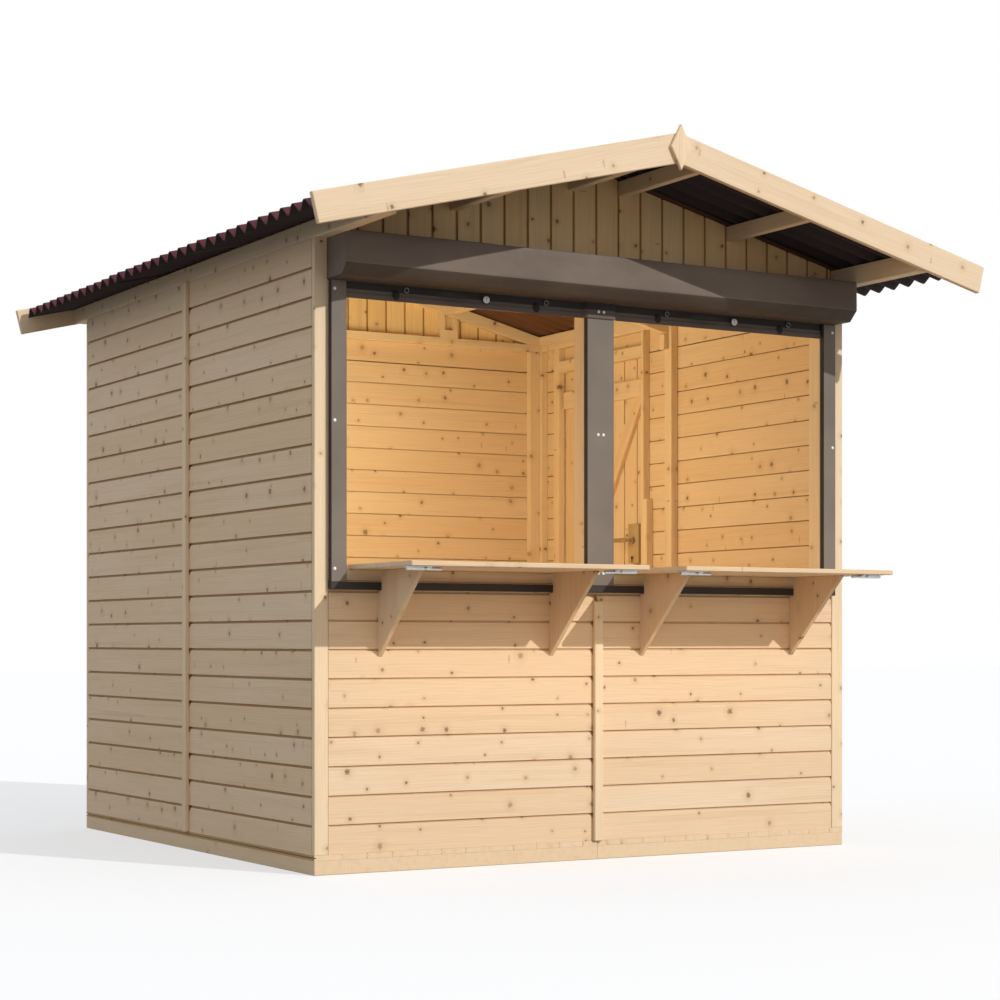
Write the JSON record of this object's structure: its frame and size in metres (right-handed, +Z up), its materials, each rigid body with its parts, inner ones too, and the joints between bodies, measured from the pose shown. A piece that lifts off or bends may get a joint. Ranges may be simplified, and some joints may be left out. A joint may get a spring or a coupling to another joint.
{
  "type": "wooden market hut",
  "caption": "Plank-walled market hut with a gabled corrugated roof, serving openings with fixed counters, a rolled curtain and a hinged side door.",
  "frame": {"origin": "middle of the ground plane under the hut's outer box, roof overhangs included", "axes": "+Z up, +Y from the serving front to the back, +X to the right as a customer sees the front"},
  "size_m": [2.464, 2.598, 2.2694],
  "materials": {
    "spruce": "planed, untreated",
    "floor_wood": "planed, untreated",
    "grey_strip": "painted grey, satin",
    "curtain": "coated tarpaulin, smooth",
    "button": "moulded",
    "roof_sheet": "bituminous fibre, matt",
    "zinc": "galvanised",
    "lock": "satin",
    "handle": "satin"
  },
  "bodies": {
    "hut": {"back_gable": "spruce", "back_wall_left_panel": "spruce", "back_wall_right_panel": "spruce", "back_wall_studs": "spruce", "corner_trims": "spruce", "counter_bolts": "zinc", "counter_brackets": "spruce", "curtain_band": "curtain", "curtain_buttons": "button", "curtain_hood": "curtain", "door_head": "spruce", "door_hinge_plates": "zinc", "door_jambs": "spruce", "eave_beams": "spruce", "floor_boards": "floor_wood", "floor_frame_left": "floor_wood", "floor_frame_right": "floor_wood", "front_bargeboard_left": "spruce", "front_bargeboard_right": "spruce", "front_frame_strips": "grey_strip", "front_gable": "spruce", "front_header": "spruce", "front_low_wall_studs": "spruce", "front_posts": "spruce", "front_sill_rail": "spruce", "front_sill_strip": "grey_strip", "front_wall_left_panel": "spruce", "front_wall_right_panel": "spruce", "gable_battens": "spruce", "joint_cover_strips": "spruce", "left_counter": "spruce", "left_wall_front_panel": "spruce", "left_wall_rear_panel": "spruce", "left_wall_studs": "spruce", "purlin_chairs": "spruce", "rear_bargeboard_left": "spruce", "rear_bargeboard_right": "spruce", "ridge_cap": "roof_sheet", "ridge_plates": "spruce", "right_counter": "spruce", "right_wall_beside_door": "spruce", "right_wall_front_panel": "spruce", "right_wall_over_door": "spruce", "right_wall_rear_strip": "spruce", "right_wall_studs": "spruce", "roof_purlins": "spruce", "roof_sheet_left": "roof_sheet", "roof_sheet_right": "roof_sheet"},
    "door": {"door_braces": "spruce", "door_hinge_straps": "zinc", "door_leaf": "spruce", "door_ledges": "spruce", "door_lock": "lock"},
    "door_handle": {"door_handle": "handle"}
  },
  "joints": [
    {"name": "door_hinge", "type": "hinge", "parent": "hut", "child": "door", "pos_m": [1.018, 0.9555, 0.94], "axis": [0, 0, 1], "range_deg": [0, 170]},
    {"name": "handle_turn", "type": "hinge", "parent": "door", "child": "door_handle", "pos_m": [0.994, 0.396, 1.095], "axis": [-1, 0, 0], "range_deg": [0, 35], "stiffness_Nm_per_rad": 2, "springref_deg": -17.19}
  ]
}
